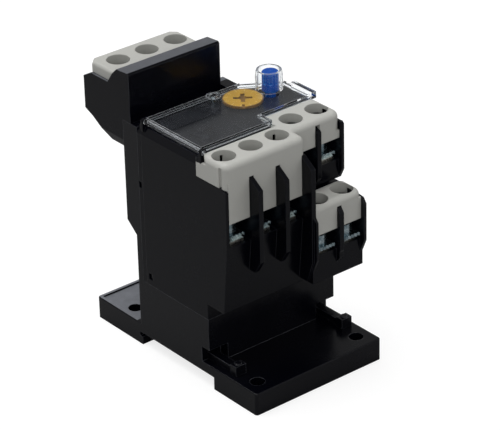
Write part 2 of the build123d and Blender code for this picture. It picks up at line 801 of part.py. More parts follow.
def coil_spring(x, depth, radius, wire, z0, z1, turns, label):
    """Compression spring of round wire between two heights."""
    with BuildPart() as spring:
        with BuildLine():
            coil = Helix(pitch=(z1 - z0 - 2 * wire) / turns, height=z1 - z0 - 2 * wire, radius=radius,
                         center=(x, at(depth), z0 + wire))
        with BuildSketch(Plane(origin=coil @ 0, z_dir=coil % 0)):
            RegularPolygon(wire, 6)
        sweep(path=coil, is_frenet=True)
    finish(spring, label)


coil_spring(button_x, button_depth, 2.3, 0.25, spring_ledge, clip_low, 5, "reset_spring")

# Test pin that trips the relay by hand
with BuildPart() as test_pin:
    post(pin_x, pin_depth, test_pin_diameter / 2, chamber_high - 8.7, panel_top + 0.8)
    post(pin_x, pin_depth, test_pin_diameter / 2 + 0.3, chamber_high - 3.5, chamber_high - 2.5)
finish(test_pin, "test_pin")

# White cover over the five upper terminals
sleeve_wall = 0.75
sleeve_gap = 0.3
main_sleeve = 5.5
aux_sleeve = 3.0
edge_round = 1.8
main_right = lower_left + barrier / 2
upper_rear = clear_front + clear_step - 0.15
main_rear = clear_front - 0.15


def bay_span(x):
    """Left and right faces of the bay round a pole."""
    half = (pitch - barrier) / 2
    return max(x - half, left + side_wall), min(x + half, right - side_wall)


def sleeve(x, depth, z0, z1):
    """Tube round a driver hole, trimmed to its bay."""
    x0, x1 = bay_span(x)
    radius = driver_hole / 2 + sleeve_wall
    with BuildSketch(Plane.XY.offset(z0), mode=Mode.PRIVATE) as ring:
        with Locations((x, at(depth))):
            Circle(radius)
        with Locations(((x0 + x1) / 2, at(depth))):
            Rectangle(x1 - x0 - 2 * sleeve_gap, 3 * radius, mode=Mode.INTERSECT)
    extrude(ring.sketch, amount=z1 - z0)


def rounded_plan(corners, z0, z1, mode=Mode.ADD):
    """Upright prism from (x, depth, corner radius) points."""
    with BuildSketch(Plane.XY.offset(z0), mode=Mode.PRIVATE) as outline:
        with BuildLine():
            Polyline(*[(x, at(d)) for x, d, r in corners], close=True)
        make_face()
        for x, d, r in corners:
            if r:
                fillet(outline.vertices().sort_by_distance(Vector(x, at(d), 0))[0], radius=r)
    extrude(outline.sketch, amount=z1 - z0, mode=mode)


def load_cover_corners(rear_left, rear_right):
    """Plan of the upper white cover with the radii of its two rear corners."""
    return [
        (left, main_front, 2.6),
        (main_right, main_front, 2.0),
        (main_right, upper_front, 1.2),
        (right - 0.2, upper_front, 3.0),
        (right - 0.2, upper_rear, rear_right),
        (clear_step_x + 0.2, upper_rear, 0),
        (clear_step_x + 0.2, main_rear, 0),
        (left, main_rear, rear_left),
    ]


skirt_root = 70.2
side_root = side_front_top + touch_gap
groove_rear = 14.4
groove_front = 13.3
groove_top = 74.8
slot_angle = 64
slot_width = 0.8
with BuildPart() as load_terminal_cover:
    rounded_plan(load_cover_corners(0, 0), side_root, cover_top)
    top_edges = faces().sort_by(Axis.Z)[-1].edges()
    fillet([e for e in top_edges if e.center().Y < at(upper_screw + 2)], radius=edge_round)
    rounded_plan(load_cover_corners(4.2, 2.5), side_root, cover_top, Mode.INTERSECT)
    # Hollow behind the skirts, and clear of the case's walls and barrier
    cover_under = cover_top - cover_plate
    block(left + cover_skirt, main_right - cover_skirt, main_front + cover_skirt, main_rear + 1,
          side_root - 1, cover_under, Mode.SUBTRACT)
    block(main_right - cover_skirt - 0.1, right - cover_skirt, upper_front + cover_skirt, upper_rear + 1,
          skirt_root - 1, cover_under, Mode.SUBTRACT)
    slab(0, width + 2, tab_middle - 0.1, upper_rear + 1, skirt_root - 1, cover_under, Mode.SUBTRACT)
    block(right - side_wall - sleeve_gap, right + 1, upper_front - 1, upper_rear,
          skirt_root - 1, 73.0, Mode.SUBTRACT)
    slab(aux_divider_x, barrier + 2 * touch_gap, upper_front - 1, 20, skirt_root - 1, 74.45, Mode.SUBTRACT)
    for x in divider_x[:-1]:
        slab(x, barrier + 2 * touch_gap, main_front - 1, main_rear + 1,
             side_root - 1, skirt_root, Mode.SUBTRACT)
    block(divider_x[-1] - barrier / 2 - touch_gap, right + 1, main_front - 1, upper_rear + 1,
          side_root - 1, skirt_root, Mode.SUBTRACT)
    slab(0, width + 2, tab_front, upper_rear + 1, side_root - 1, skirt_root, Mode.SUBTRACT)
    side_prism(
        [
            (main_front - 1, side_root - 1),
            (main_front - 1, side_root),
            (main_front, side_root),
            (main_front + 2.4, side_top + touch_gap),
            (tab_front + 1, side_top + touch_gap),
            (tab_front + 1, side_root - 1),
        ],
        left - 1,
        left + side_wall + touch_gap,
        Mode.SUBTRACT,
    )
    # Tongues in front of the screws
    for x in main_x:
        x0, x1 = bay_span(x)
        block(x0 + touch_gap, x1 - touch_gap, main_front, main_front + cover_skirt,
              main_skirt_low, skirt_root + 0.1)
        sleeve(x, main_screw, cover_top - main_sleeve, cover_top - 1)
    for x in aux_x:
        x0, x1 = bay_span(x)
        block(x0 + touch_gap, x1 - touch_gap, upper_front, upper_front + cover_skirt,
              upper_skirt_low, skirt_root + 0.1)
        sleeve(x, upper_screw, cover_top - aux_sleeve, cover_top - 1)
    # Flank at the left, flush with the case
    block(left, left + side_wall - touch_gap, tab_front, tab_middle, tab_low, cover_under - 1.0)
    block(left, left + side_wall - touch_gap, tab_middle - 0.5, tab_rear, tab_low, tab_high)
    block(left - 1, left + 0.5, groove_front, groove_rear, side_root - 1, groove_top, Mode.SUBTRACT)
    for x in main_x:
        post(x, main_screw, driver_hole / 2, cover_top - 8, cover_top + 1, Mode.SUBTRACT)
    # Slots in two of the sleeves
    slot_top = cover_under - touch_gap
    for x in (main_x[0], main_x[-1]):
        with Locations((x, at(main_screw), slot_top - main_sleeve / 2)):
            with PolarLocations(driver_hole / 2 + sleeve_wall / 2, 1, start_angle=slot_angle):
                Box(2 * sleeve_wall + 0.4, slot_width, main_sleeve, mode=Mode.SUBTRACT)
    for x in aux_x:
        post(x, upper_screw, driver_hole / 2, cover_top - 8, cover_top + 1, Mode.SUBTRACT)
finish(load_terminal_cover, "load_terminal_cover")

# White cover over the two lower terminals
lower_cover_left = main_right + touch_gap
lower_cover_right = right - 0.3
lower_rear = lower_screw + bay_behind_screw - touch_gap
with BuildPart() as aux_terminal_cover:
    rounded_plan(
        [
            (lower_cover_left, lower_front, 0),
            (lower_cover_right, lower_front, 3.0),
            (lower_cover_right, lower_rear, 2.5),
            (lower_cover_left, lower_rear, 0),
        ],
        51.9,
        lower_cover_top,
    )
    top_edges = faces().sort_by(Axis.Z)[-1].edges()
    fillet([e for e in top_edges if e.center().X > lower_cover_left + 0.1], radius=edge_round)
    block(lower_cover_left + cover_skirt, lower_cover_right - cover_skirt, lower_front + cover_skirt,
          lower_rear + 1, 51, lower_cover_top - cover_plate, Mode.SUBTRACT)
    block(right - side_wall - sleeve_gap, right + 1, lower_front - 1, lower_rear + 1, 51,
          lower_cover_top - cover_plate - touch_gap, Mode.SUBTRACT)
    for x in aux_x:
        x0, x1 = bay_span(x)
        block(x0 + touch_gap, x1 - touch_gap, lower_front, lower_front + cover_skirt, lower_skirt_low, 52)
        sleeve(x, lower_screw, lower_cover_top - 3.4, lower_cover_top - 1)
    for x in aux_x:
        post(x, lower_screw, driver_hole / 2, 40, 60, Mode.SUBTRACT)
finish(aux_terminal_cover, "aux_terminal_cover")

# Load terminal bars: seat in the bay, tab down to the heater's foot
tab_depth = 26.0
with BuildPart() as load_terminal_bars:
    for x in main_x:
        slab(x, 5.0, 12.8, tab_depth + 1, main_seat, main_seat + bar_thickness)
        slab(x, 5.0, tab_depth, tab_depth + 1, bimetal_foot - 1.1, main_seat + 0.5)
        slab(x, 5.0, tab_depth, bimetal_depth + bimetal_width / 2 + 0.6,
             bimetal_foot - 1.1, bimetal_foot - 0.1)
        post(x, main_screw, screw_shank / 2 + running_gap, main_seat - 1, main_seat + 2, Mode.SUBTRACT)
finish(load_terminal_bars, "load_terminal_bars")

# Bimetal strips and the ribbon heaters wound on them
ribbon = 0.35
ribbon_height = 1.1
ribbon_pitch = 1.9
ribbon_turns = 10
for k, x in enumerate(main_x, start=1):
    with BuildPart() as bimetal_strip:
        slab(x, bimetal_thickness, bimetal_depth - bimetal_width / 2, bimetal_depth + bimetal_width / 2,
             bimetal_foot, bimetal_top)
    finish(bimetal_strip, f"bimetal_strip_{k}")
    with BuildPart() as heater_coil:
        half_x = bimetal_thickness / 2 + ribbon
        half_y = bimetal_width / 2 + ribbon
        for turn in range(ribbon_turns):
            z = bimetal_foot + 6 + turn * ribbon_pitch
            slab(x, 2 * half_x, bimetal_depth - half_y, bimetal_depth + half_y, z, z + ribbon_height)
        block(x - half_x, x - half_x + ribbon, bimetal_depth - 0.5, bimetal_depth + 0.5, bimetal_foot + 6,
              bimetal_foot + 6 + (ribbon_turns - 1) * ribbon_pitch + ribbon_height)
        slab(x, bimetal_thickness, bimetal_depth - bimetal_width / 2, bimetal_depth + bimetal_width / 2,
             bimetal_foot, bimetal_top, Mode.SUBTRACT)
    finish(heater_coil, f"heater_coil_{k}")

# Slide bar that the strips push sideways when they bend
with BuildPart() as trip_slide:
    block(main_x[0] - 2.2, lever_x - 1.0, lever_depth - 1.5, bimetal_depth + bimetal_width / 2 + 1.5,
          bar_low, bar_high)
    for x in main_x:
        slab(x, bimetal_thickness + 0.4, bimetal_depth - bimetal_width / 2 - slide_gap,
             bimetal_depth + bimetal_width / 2 + slide_gap, bar_low - 1, bar_high + 1, Mode.SUBTRACT)
    for x in (main_x[0] + pitch / 2, main_x[1] + pitch / 2):
        slab(x, 6.4, lever_depth - 2, lever_depth + 2.5, bar_low - 1, bar_high + 1, Mode.SUBTRACT)
finish(trip_slide, "trip_slide")

# Trip lever on its pin: the slide pushes its lower arm, its other arm lifts the contact carrier
with BuildPart() as trip_lever:
    with BuildSketch(Plane.XZ.offset(-at(lever_depth + 1.5))):
        with BuildLine():
            Polyline(
                (lever_x - 0.7, lever_z - lever_drop),
                (lever_x + 0.7, lever_z - lever_drop),
                (lever_x + 1.4, lever_z - 0.9),
                (lever_x + lever_reach, lever_z - 0.4),
                (lever_x + lever_reach, lever_z + 0.7),
                (lever_x - 1.2, lever_z + 1.4),
                close=True,
            )
        make_face()
        with Locations((lever_x, lever_z)):
            Circle(2.0)
            Circle(pin_radius + running_gap, mode=Mode.SUBTRACT)
    extrude(amount=3.0)
finish(trip_lever, "trip_lever")

with BuildPart() as lever_pin:
    rod(lever_x, lever_z, pin_radius, pin_root, lever_depth + 2.2)
finish(lever_pin, "lever_pin")

# Contact carrier with its two bridges
contact_open = 1.2
nc_rivet = upper_seat + bar_thickness + 0.5
no_rivet = lower_seat - 0.5
bridge_thickness = 0.7
nc_bridge_low = nc_rivet + running_gap
no_bridge_high = no_rivet - contact_open - running_gap
carrier_top = 69.2
with BuildPart() as contact_carrier:
    block(carrier_x - 1.5, carrier_x + 1.5, carrier_depth - 1.5, carrier_depth + 1.5, 34.0, carrier_top)
    block(carrier_x - 3.1, carrier_x, carrier_depth - 1.0, carrier_depth + 1.5, lever_z + 0.85, carrier_top)
    for z in (nc_bridge_low, no_bridge_high - bridge_thickness):
        block(carrier_x - 4, carrier_x + 2, carrier_depth - 1.0, carrier_depth + 1.0, z, z + bridge_thickness,
              Mode.SUBTRACT)
finish(contact_carrier, "contact_carrier")

for label, z in (("nc_bridge", nc_bridge_low), ("no_bridge", no_bridge_high - bridge_thickness)):
    with BuildPart() as bridge:
        slab(carrier_x, 10.0, carrier_depth - 1.0, carrier_depth + 1.0, z, z + bridge_thickness)
    finish(bridge, label)

coil_spring(carrier_x, carrier_depth, 1.1, 0.2, carrier_top, chamber_high, 4, "contact_spring")

# Fixed contacts: the auxiliary terminal bars, each with a rivet for the bridge
with BuildPart() as nc_fixed_contacts:
    for x in aux_x:
        inner = x + (0.6 if x < carrier_x else -0.6)
        slab(x, 5.0, upper_front + 1.6, upper_screw + bay_behind_screw,
             upper_seat, upper_seat + bar_thickness)
        slab(x, 3.0, 27, carrier_depth + 1.2, upper_seat, upper_seat + bar_thickness)
        post(inner, carrier_depth, 0.8, upper_seat + 0.5, nc_rivet)
        post(x, upper_screw, screw_shank / 2 + running_gap, upper_seat - 1, upper_seat + 2, Mode.SUBTRACT)
finish(nc_fixed_contacts, "nc_fixed_contacts")

with BuildPart() as no_fixed_contacts:
    for x in aux_x:
        inner = x + (0.6 if x < carrier_x else -0.6)
        slab(x, 5.0, lower_front + 1.6, lower_screw + bay_behind_screw,
             lower_seat, lower_seat + bar_thickness)
        slab(x, 3.0, 16, carrier_depth + 1.2, lower_seat, lower_seat + bar_thickness)
        post(inner, carrier_depth, 0.8, no_rivet, lower_seat + 0.5)
        post(x, lower_screw, screw_shank / 2 + running_gap, lower_seat - 1, lower_seat + 2, Mode.SUBTRACT)
finish(no_fixed_contacts, "no_fixed_contacts")
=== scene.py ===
import json
from math import cos, pi, radians, sin

import bpy
import numpy as np
from mathutils import Matrix, Vector


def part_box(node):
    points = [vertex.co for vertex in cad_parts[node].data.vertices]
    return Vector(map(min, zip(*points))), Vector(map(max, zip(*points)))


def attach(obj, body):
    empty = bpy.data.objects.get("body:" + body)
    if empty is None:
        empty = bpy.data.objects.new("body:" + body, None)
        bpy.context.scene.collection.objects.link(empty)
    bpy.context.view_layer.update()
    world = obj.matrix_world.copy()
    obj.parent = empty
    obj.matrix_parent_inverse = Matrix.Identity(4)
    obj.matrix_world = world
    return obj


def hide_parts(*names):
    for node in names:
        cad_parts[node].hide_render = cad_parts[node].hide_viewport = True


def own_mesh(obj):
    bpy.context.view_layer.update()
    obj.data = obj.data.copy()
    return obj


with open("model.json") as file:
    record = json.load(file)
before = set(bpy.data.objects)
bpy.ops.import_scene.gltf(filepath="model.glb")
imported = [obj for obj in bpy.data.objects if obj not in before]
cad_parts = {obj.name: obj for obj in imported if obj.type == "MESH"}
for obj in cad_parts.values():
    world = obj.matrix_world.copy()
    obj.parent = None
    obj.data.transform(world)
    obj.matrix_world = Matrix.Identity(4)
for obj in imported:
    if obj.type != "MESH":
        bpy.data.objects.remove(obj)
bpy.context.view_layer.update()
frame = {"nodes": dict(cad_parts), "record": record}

MM = 0.001
nodes = frame["nodes"]


# Camera

PHOTO_WIDTH = 500
CAMERA_PLACE = Vector((-0.439848, -0.553675, 0.421676))
CAMERA_AZIMUTH = 321.1353
CAMERA_ELEVATION = 28.2571
CAMERA_ROLL = -1.4171
FOCAL_PIXELS = 2718.15
SENSOR_WIDTH = 36.0
NEAREST = 0.01
FARTHEST = 20


def camera_turn(azimuth, elevation, roll):
    """Rotation whose back axis is (sin a cos e, -cos a cos e, sin e), then rolled about that axis."""
    a, e, r = radians(azimuth), radians(elevation), radians(roll)
    back = Vector((sin(a) * cos(e), -cos(a) * cos(e), sin(e)))
    level = Vector((cos(a), sin(a), 0))
    up = back.cross(level)
    side = level * cos(r) + up * sin(r)
    return Matrix((side, back.cross(side), back)).transposed()


def make_camera():
    """Camera with the place, turn and lens that match the photograph's frame."""
    data = bpy.data.cameras.new("camera")
    data.sensor_width = SENSOR_WIDTH
    data.lens = FOCAL_PIXELS / PHOTO_WIDTH * SENSOR_WIDTH
    data.clip_start = NEAREST
    data.clip_end = FARTHEST
    camera = bpy.data.objects.new("camera", data)
    turn = camera_turn(CAMERA_AZIMUTH, CAMERA_ELEVATION, CAMERA_ROLL).to_4x4()
    camera.matrix_world = Matrix.Translation(CAMERA_PLACE) @ turn
    bpy.context.scene.collection.objects.link(camera)
    bpy.context.scene.camera = camera


# Small helpers for nodes

NOISE_ROUGHNESS = 0.55


def new_group(name, inputs, outputs):
    """Shader node group with named sockets: inputs are (name, kind, default), outputs are (name, kind)."""
    tree = bpy.data.node_groups.new(name, "ShaderNodeTree")
    for label, kind, default in inputs:
        socket = tree.interface.new_socket(label, in_out="INPUT", socket_type=kind)
        socket.default_value = default
    for label, kind in outputs:
        tree.interface.new_socket(label, in_out="OUTPUT", socket_type=kind)
    return tree, tree.nodes.new("NodeGroupInput"), tree.nodes.new("NodeGroupOutput")


def place_group(tree, group, values):
    """A node group placed in a tree, with values for its inputs by name."""
    node = tree.nodes.new("ShaderNodeGroup")
    node.node_tree = group
    for label, value in values.items():
        node.inputs[label].default_value = value
    return node


def feed(tree, socket, value):
    """Link a socket to an input, or set the input to a plain value."""
    if isinstance(value, bpy.types.NodeSocket):
        tree.links.new(value, socket)
    else:
        socket.default_value = value


def math_node(tree, operation, a, b=0.0, clamp=False):
    """Math node fed by sockets or plain numbers."""
    node = tree.nodes.new("ShaderNodeMath")
    node.operation = operation
    node.use_clamp = clamp
    feed(tree, node.inputs[0], a)
    feed(tree, node.inputs[1], b)
    return node.outputs[0]


def times(tree, a, b, clamp=False):
    """Product of two values."""
    return math_node(tree, "MULTIPLY", a, b, clamp)


def plus(tree, a, b, clamp=False):
    """Sum of two values."""
    return math_node(tree, "ADD", a, b, clamp)


def minus(tree, a, b):
    """Difference of two values."""
    return math_node(tree, "SUBTRACT", a, b)


def larger(tree, a, b):
    """The larger of two values."""
    return math_node(tree, "MAXIMUM", a, b)


def raised(tree, value, start, gain):
    """How far a value lies above a start, times a gain, kept between 0 and 1."""
    return times(tree, minus(tree, value, start), gain, clamp=True)


def swing(tree, value, gain):
    """A noise's distance from its middle, times a gain."""
    return times(tree, minus(tree, value, 0.5), gain)


def mix_colour(tree, factor, a, b):
    """Colour mix fed by sockets or plain colours."""
    node = tree.nodes.new("ShaderNodeMix")
    node.data_type = "RGBA"
    feed(tree, node.inputs[0], factor)
    feed(tree, node.inputs[6], a)
    feed(tree, node.inputs[7], b)
    return node.outputs[2]


def mix_shader(tree, factor, a, b):
    """Mix of two shaders."""
    node = tree.nodes.new("ShaderNodeMixShader")
    for socket, value in zip(node.inputs, (factor, a, b)):
        tree.links.new(value, socket)
    return node.outputs[0]


def one_axis(tree, node_type, output, axis):
    """One axis of the vector that an input node gives."""
    split = tree.nodes.new("ShaderNodeSeparateXYZ")
    tree.links.new(tree.nodes.new(node_type).outputs[output], split.inputs[0])
    return split.outputs[axis]


def object_part(tree, axis):
    """One coordinate of a point on its own piece, in metres."""
    return one_axis(tree, "ShaderNodeTexCoord", "Object", axis)


def noise(tree, scale, detail, stretch=None):
    """Noise on object coordinates, with its scale per metre and an optional stretch per axis."""
    place = tree.nodes.new("ShaderNodeTexCoord").outputs["Object"]
    if stretch:
        mapping = tree.nodes.new("ShaderNodeMapping")
        mapping.inputs["Scale"].default_value = stretch
        tree.links.new(place, mapping.inputs["Vector"])
        place = mapping.outputs[0]
    node = tree.nodes.new("ShaderNodeTexNoise")
    node.inputs["Scale"].default_value = scale
    node.inputs["Detail"].default_value = detail
    node.inputs["Roughness"].default_value = NOISE_ROUGHNESS
    tree.links.new(place, node.inputs["Vector"])
    return node.outputs["Fac"]


def bump(tree, height, strength, normal):
    """Bump from a height in metres, on top of a normal."""
    node = tree.nodes.new("ShaderNodeBump")
    node.inputs["Strength"].default_value = strength
    node.inputs["Distance"].default_value = 1.0
    tree.links.new(height, node.inputs["Height"])
    tree.links.new(normal, node.inputs["Normal"])
    return node.outputs[0]


# Node groups that several finishes share

BEVEL_SAMPLES = 6
EDGE_GAIN = 4.0


def edge_group():
    """Rounded normal and edge mask: the mask is one minus the dot of the rounded and the flat normal."""
    tree, inlet, outlet = new_group(
        "rounded_edges",
        [("Radius", "NodeSocketFloat", 0.3 * MM)],
        [("Normal", "NodeSocketVector"), ("Edge", "NodeSocketFloat")],
    )
    bevel = tree.nodes.new("ShaderNodeBevel")
    bevel.samples = BEVEL_SAMPLES
    tree.links.new(inlet.outputs["Radius"], bevel.inputs["Radius"])
    flat = tree.nodes.new("ShaderNodeNewGeometry").outputs["Normal"]
    dot = tree.nodes.new("ShaderNodeVectorMath")
    dot.operation = "DOT_PRODUCT"
    tree.links.new(bevel.outputs[0], dot.inputs[0])
    tree.links.new(flat, dot.inputs[1])
    away = minus(tree, 1.0, dot.outputs["Value"])
    tree.links.new(bevel.outputs[0], outlet.inputs["Normal"])
    tree.links.new(times(tree, away, EDGE_GAIN, clamp=True), outlet.inputs["Edge"])
    return tree


# Paler colour for faces that look up: partly real dust, partly painted sheen.
SHEEN_AND_DIRT_COLOUR = (0.20, 0.21, 0.235, 1)
SHEEN_AND_DIRT_UP = 0.9
SHEEN_AND_DIRT_UP_GAIN = 12.0
SHEEN_AND_DIRT_THINNEST = 0.7
SHEEN_AND_DIRT_BROKEN = 0.6


def sheen_and_dirt_mask(tree, amount, start, broken):
    """Dust and painted sheen on faces that look up, behind a given Y in metres, thinned by a noise."""
    up = raised(tree, one_axis(tree, "ShaderNodeNewGeometry", "Normal", "Z"), SHEEN_AND_DIRT_UP, SHEEN_AND_DIRT_UP_GAIN)
    behind = math_node(tree, "GREATER_THAN", object_part(tree, "Y"), start)
    thin = plus(tree, SHEEN_AND_DIRT_THINNEST, times(tree, broken, SHEEN_AND_DIRT_BROKEN))
    mask = times(tree, times(tree, up, behind), thin)
    return times(tree, mask, amount, clamp=True)


GRAIN_SCALE = 5200.0
GRAIN_ROUGH = 0.16
GRAIN_BUMP = 0.6
CLOUD_SCALE = 70.0
CLOUD_ROUGH = 0.30
SCUFF_SCALE = 420.0
SCUFF_STRETCH = (1.0, 1.0, 0.35)
SCUFF_START = 0.28
SCUFF_GAIN = 3.0
WORN_SMOOTH = 0.12
SHEEN_AND_DIRT_ROUGH = 0.3


def moulded_group(edges):
    """Moulded plastic: fine spark-eroded grain, slow cloudiness, edges in a second colour that is partly wear and
    partly painted edge highlight, and a paler colour on faces that look up that is partly dust and partly painted
    sheen.
    """
    tree, inlet, outlet = new_group(
        "moulded_surface",
        [
            ("Colour", "NodeSocketColor", (0.5, 0.5, 0.5, 1)),
            ("Worn And Sheen Colour", "NodeSocketColor", (0.6, 0.6, 0.6, 1)),
            ("Wear And Sheen", "NodeSocketFloat", 0.3),
            ("Roughness", "NodeSocketFloat", 0.45),
            ("Grain Height", "NodeSocketFloat", 0.01 * MM),
            ("Edge Radius", "NodeSocketFloat", 0.3 * MM),
            ("Cloud", "NodeSocketFloat", 0.08),
            ("Sheen And Dirt", "NodeSocketFloat", 0.0),
            ("Sheen And Dirt From", "NodeSocketFloat", -1.0),
        ],
        [("Colour", "NodeSocketColor"), ("Roughness", "NodeSocketFloat"), ("Normal", "NodeSocketVector")],
    )
    rounded = place_group(tree, edges, {})
    tree.links.new(inlet.outputs["Edge Radius"], rounded.inputs["Radius"])
    grain = noise(tree, GRAIN_SCALE, detail=2.0)
    cloud = noise(tree, CLOUD_SCALE, detail=5.0)
    scuff = noise(tree, SCUFF_SCALE, detail=6.0, stretch=SCUFF_STRETCH)

    # Edge colour mask: partly rubbed wear, partly painted highlight along the edges.
    worn_and_sheen = times(tree, rounded.outputs["Edge"], raised(tree, scuff, SCUFF_START, SCUFF_GAIN))
    worn_and_sheen = times(tree, worn_and_sheen, inlet.outputs["Wear And Sheen"], clamp=True)
    shade = times(tree, swing(tree, cloud, inlet.outputs["Cloud"]), 2.0)
    tone = tree.nodes.new("ShaderNodeHueSaturation")
    tree.links.new(inlet.outputs["Colour"], tone.inputs["Color"])
    tree.links.new(plus(tree, 1.0, shade), tone.inputs["Value"])
    colour = mix_colour(tree, worn_and_sheen, tone.outputs[0], inlet.outputs["Worn And Sheen Colour"])
    # Faces that look up are paled: partly dust, partly painted sheen.
    sheen_and_dirt = sheen_and_dirt_mask(tree, inlet.outputs["Sheen And Dirt"], inlet.outputs["Sheen And Dirt From"], scuff)
    colour = mix_colour(tree, sheen_and_dirt, colour, SHEEN_AND_DIRT_COLOUR)

    uneven = plus(tree, swing(tree, cloud, CLOUD_ROUGH), swing(tree, grain, GRAIN_ROUGH))
    rough = plus(tree, inlet.outputs["Roughness"], uneven)
    rough = minus(tree, rough, times(tree, worn_and_sheen, WORN_SMOOTH))
    rough = plus(tree, rough, times(tree, sheen_and_dirt, SHEEN_AND_DIRT_ROUGH), clamp=True)

    height = times(tree, grain, inlet.outputs["Grain Height"])
    tree.links.new(colour, outlet.inputs["Colour"])
    tree.links.new(rough, outlet.inputs["Roughness"])
    tree.links.new(bump(tree, height, GRAIN_BUMP, rounded.outputs["Normal"]), outlet.inputs["Normal"])
    return tree


FILM_SCALE = 700.0
FILM_START = 0.35
FILM_GAIN = 3.0
SCRATCH_SCALE = 1500.0
SCRATCH_STRETCH = (1.0, 6.0, 1.0)
SCRATCH_ROUGH = 0.35
SCRATCH_HEIGHT = 0.02 * MM
SCRATCH_BUMP = 0.5


def plated_group(edges):
    """Plated metal: cloudy passivation between two colours, fine scratches and rounded edges."""
    tree, inlet, outlet = new_group(
        "plated_surface",
        [
            ("Colour", "NodeSocketColor", (0.7, 0.7, 0.7, 1)),
            ("Second Colour", "NodeSocketColor", (0.6, 0.65, 0.7, 1)),
            ("Roughness", "NodeSocketFloat", 0.25),
            ("Edge Radius", "NodeSocketFloat", 0.15 * MM),
        ],
        [("Colour", "NodeSocketColor"), ("Roughness", "NodeSocketFloat"), ("Normal", "NodeSocketVector")],
    )
    rounded = place_group(tree, edges, {})
    tree.links.new(inlet.outputs["Edge Radius"], rounded.inputs["Radius"])
    film = noise(tree, FILM_SCALE, detail=4.0)
    scratch = noise(tree, SCRATCH_SCALE, detail=3.0, stretch=SCRATCH_STRETCH)
    blend = raised(tree, film, FILM_START, FILM_GAIN)
    colour = mix_colour(tree, blend, inlet.outputs["Colour"], inlet.outputs["Second Colour"])
    rough = plus(tree, inlet.outputs["Roughness"], swing(tree, scratch, SCRATCH_ROUGH), clamp=True)
    height = times(tree, scratch, SCRATCH_HEIGHT)
    tree.links.new(colour, outlet.inputs["Colour"])
    tree.links.new(rough, outlet.inputs["Roughness"])
    tree.links.new(bump(tree, height, SCRATCH_BUMP, rounded.outputs["Normal"]), outlet.inputs["Normal"])
    return tree


# Finishes

def start_material(name):
    """Empty node material with its Principled shader."""
    material = bpy.data.materials.new(name)
    material.use_nodes = True
    return material, material.node_tree, material.node_tree.nodes["Principled BSDF"]


def use_group(tree, shader, group, values):
    """Place a surface group and feed the shader's colour, roughness and normal from it."""
    node = place_group(tree, group, values)
    tree.links.new(node.outputs["Colour"], shader.inputs["Base Color"])
    tree.links.new(node.outputs["Roughness"], shader.inputs["Roughness"])
    tree.links.new(node.outputs["Normal"], shader.inputs["Normal"])
    return node


def grey(value, tint=(1.0, 1.0, 1.0)):
    """Opaque colour of one level with a tint."""
    return tuple(value * t for t in tint) + (1.0,)


def moulded(name, colour, worn_and_sheen, wear_and_sheen, roughness, specular, edge=0.3 * MM, cloud=0.08, sheen_and_dirt=0.0, sheen_and_dirt_from=-1.0):
    """Moulded plastic finish, which returns its material and its surface group's node."""
    material, tree, shader = start_material(name)
    shader.inputs["Specular IOR Level"].default_value = specular
    node = use_group(tree, shader, MOULDED, {
        "Colour": colour, "Worn And Sheen Colour": worn_and_sheen, "Wear And Sheen": wear_and_sheen, "Roughness": roughness, "Edge Radius": edge,
        "Cloud": cloud, "Sheen And Dirt": sheen_and_dirt, "Sheen And Dirt From": sheen_and_dirt_from,
    })
    return material, node


def plated(name, colour, second, roughness, edge=0.15 * MM):
    """Plated metal finish."""
    material, tree, shader = start_material(name)
    shader.inputs["Metallic"].default_value = 1.0
    use_group(tree, shader, PLATED, {
        "Colour": colour, "Second Colour": second, "Roughness": roughness, "Edge Radius": edge,
    })
    return material


CLEAR_COLOUR = (0.96, 0.975, 0.985, 1)
CLEAR_SHADOW = (0.9, 0.92, 0.94, 1)
CLEAR_BEND = 1.22
CLEAR_ROUGH = 0.03
SMEAR_SCALE = 120.0
SMEAR_START = 0.45
SMEAR_GAIN = 0.22
# Pale layer: real haze on the collar and in smears, painted reflection round the collar's rim and painted highlight
# lines on the edges.
HAZE_AND_SHEEN_COLOUR = (0.72, 0.75, 0.78, 1)
SMEAR_HAZE = 0.06
COLLAR_HEIGHT = 5.2 * MM
COLLAR_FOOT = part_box("transparent_cover")[1].z - COLLAR_HEIGHT
COLLAR_HAZE = 0.01
COLLAR_RIM_SHEEN = 0.8
COLLAR_RIM_POWER = 3.0
LINE_RADIUS = 0.25 * MM
LINE_START = 0.25
LINE_GAIN = 1.2
EDGE_LINE_SHEEN = 0.9


def clear_haze_and_sheen(tree, spread):
    """A little haze on the collar and where the plastic is smeared, with painted reflection round the collar's rim,
    growing as the surface turns from the camera, and painted highlight lines on the edges.
    """
    collar = math_node(tree, "GREATER_THAN", object_part(tree, "Z"), COLLAR_FOOT)
    facing = tree.nodes.new("ShaderNodeLayerWeight").outputs["Facing"]
    # Painted reflection round the collar's rim, stronger where the surface turns from the camera.
    painted_rim = times(tree, math_node(tree, "POWER", facing, COLLAR_RIM_POWER), COLLAR_RIM_SHEEN)
    rounded = place_group(tree, EDGES, {"Radius": LINE_RADIUS})
    # Painted highlight lines on the edges.
    line = raised(tree, rounded.outputs["Edge"], LINE_START, LINE_GAIN)
    haze_and_sheen = times(tree, collar, plus(tree, COLLAR_HAZE, painted_rim))
    haze_and_sheen = larger(tree, haze_and_sheen, times(tree, line, EDGE_LINE_SHEEN))
    return plus(tree, haze_and_sheen, times(tree, spread, SMEAR_HAZE), clamp=True)


